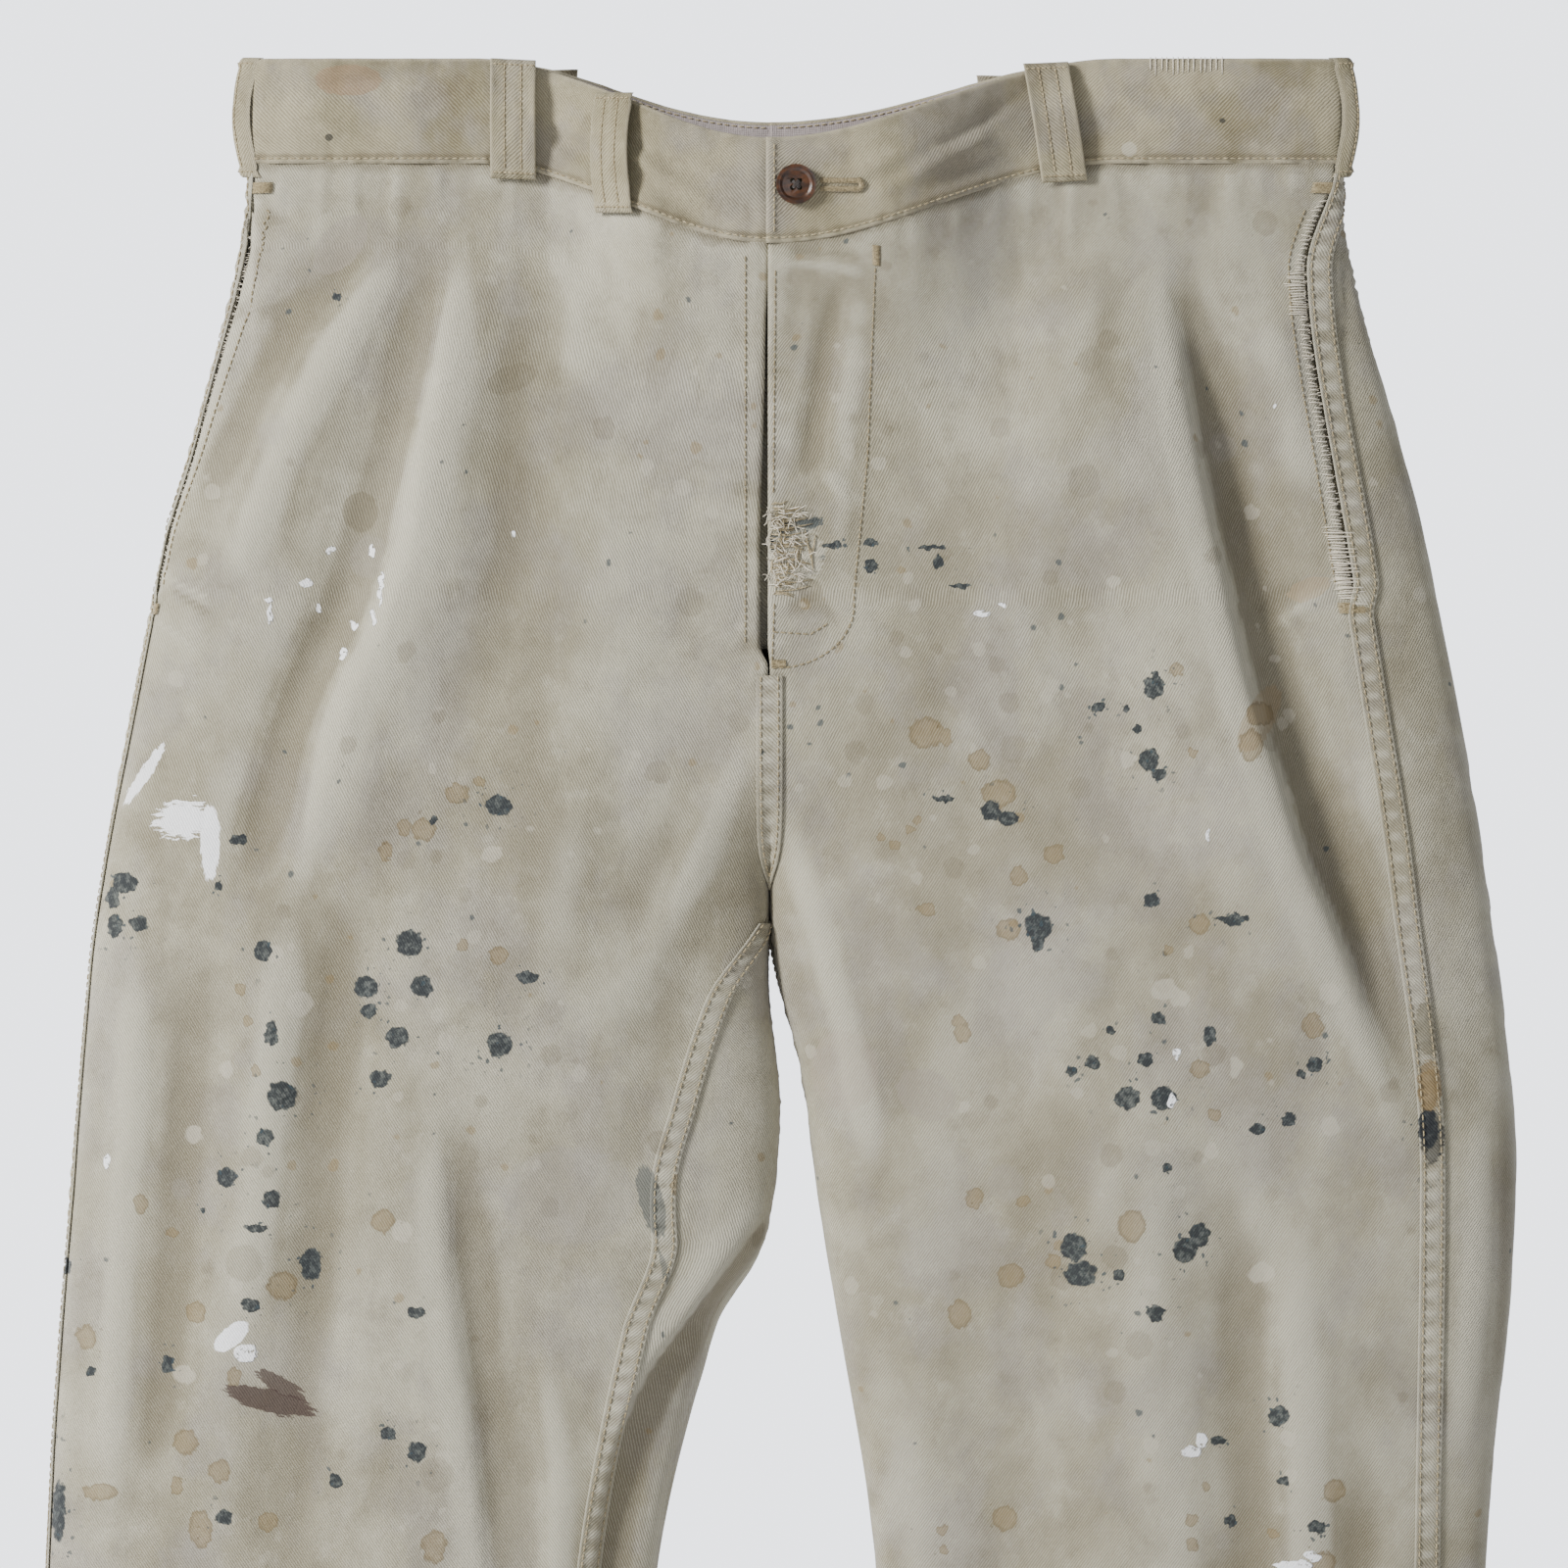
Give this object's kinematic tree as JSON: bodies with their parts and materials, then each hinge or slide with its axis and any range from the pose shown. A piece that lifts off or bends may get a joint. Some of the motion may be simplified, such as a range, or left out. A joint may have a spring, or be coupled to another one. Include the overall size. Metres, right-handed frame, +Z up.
{
  "type": "paint-marked work trousers",
  "caption": "Cotton twill work trousers hung by the waistband, with zip fly, waist button, belt loops, side and welt pockets and felled seams.",
  "frame": {"origin": "midway between the two places where a clip hanger grips the waistband, level with its top edge", "axes": "+Z up, the front faces -Y, +X towards the wearer's left"},
  "size_m": [0.627, 0.0781, 1.076],
  "materials": {
    "twill": "washed cotton twill with paint marks",
    "band_twill": "washed cotton twill",
    "lining": "plain cotton lining",
    "button_horn": "polished, mottled brown",
    "seam_thread": "cotton thread",
    "dark_thread": "cotton thread",
    "darning": "worn cloth with darning thread",
    "zip_tape": "woven tape",
    "zip_metal": "dull brass"
  },
  "bodies": {
    "trousers": {"belt_loop_left_back": "band_twill", "belt_loop_left_front": "band_twill", "belt_loop_left_side": "band_twill", "belt_loop_right_back": "band_twill", "belt_loop_right_fly": "band_twill", "belt_loop_right_front": "band_twill", "belt_loop_right_side": "band_twill", "buttonhole_stitching": "seam_thread", "crotch_seam": "twill", "fly_darn": "darning", "fly_facing": "twill", "fly_shield": "twill", "left_back_panel": "twill", "left_back_pocket_bag": "lining", "left_back_welt": "twill", "left_front_panel": "twill", "left_hem": "twill", "left_inseam": "twill", "left_outseam": "twill", "left_pocket_bag": "lining", "left_pocket_facing": "lining", "left_pocket_foot_tack": "seam_thread", "left_pocket_top_tack": "seam_thread", "left_waistband": "band_twill", "left_waistband_lining": "lining", "right_back_panel": "twill", "right_back_pocket_bag": "lining", "right_back_welt": "twill", "right_front_panel": "twill", "right_hem": "twill", "right_inseam": "twill", "right_outseam": "twill", "right_pocket_bag": "lining", "right_pocket_facing": "lining", "right_pocket_foot_tack": "seam_thread", "right_pocket_top_tack": "seam_thread", "right_waistband": "band_twill", "right_waistband_lining": "lining", "seat_seam": "twill", "waistband_underlap": "band_twill", "zip_bottom_stop": "zip_metal", "zip_tape_left": "zip_tape", "zip_tape_right": "zip_tape", "zip_teeth_left": "zip_metal", "zip_teeth_right": "zip_metal", "zip_top_stop_left": "zip_metal", "zip_top_stop_right": "zip_metal"},
    "zip_slider_body": {"zip_slider": "zip_metal"},
    "zip_pull_body": {"zip_pull": "zip_metal"},
    "waist_button_body": {"waist_button": "button_horn", "waist_button_thread": "dark_thread"},
    "back_pocket_button_body": {"back_pocket_button": "button_horn", "back_pocket_button_thread": "dark_thread"}
  },
  "joints": [
    {"name": "zip_slide", "type": "slide", "parent": "trousers", "child": "zip_slider_body", "axis": [0, 0, 1], "range_m": [-0.1407, 0]},
    {"name": "pull_swing", "type": "hinge", "parent": "zip_slider_body", "child": "zip_pull_body", "pos_m": [0.006, -0.0238, -0.0928], "axis": [0, -1, 0], "range_deg": [-20, 20]},
    {"name": "waist_button_tilt", "type": "hinge", "parent": "trousers", "child": "waist_button_body", "pos_m": [0, -0.0272, -0.0548], "axis": [1, 0, 0], "range_deg": [-8, 8]},
    {"name": "back_button_tilt", "type": "hinge", "parent": "trousers", "child": "back_pocket_button_body", "pos_m": [0.115, 0.03715, -0.14986], "axis": [0.9996, -0.0294, 0], "range_deg": [-8, 8]}
  ]
}
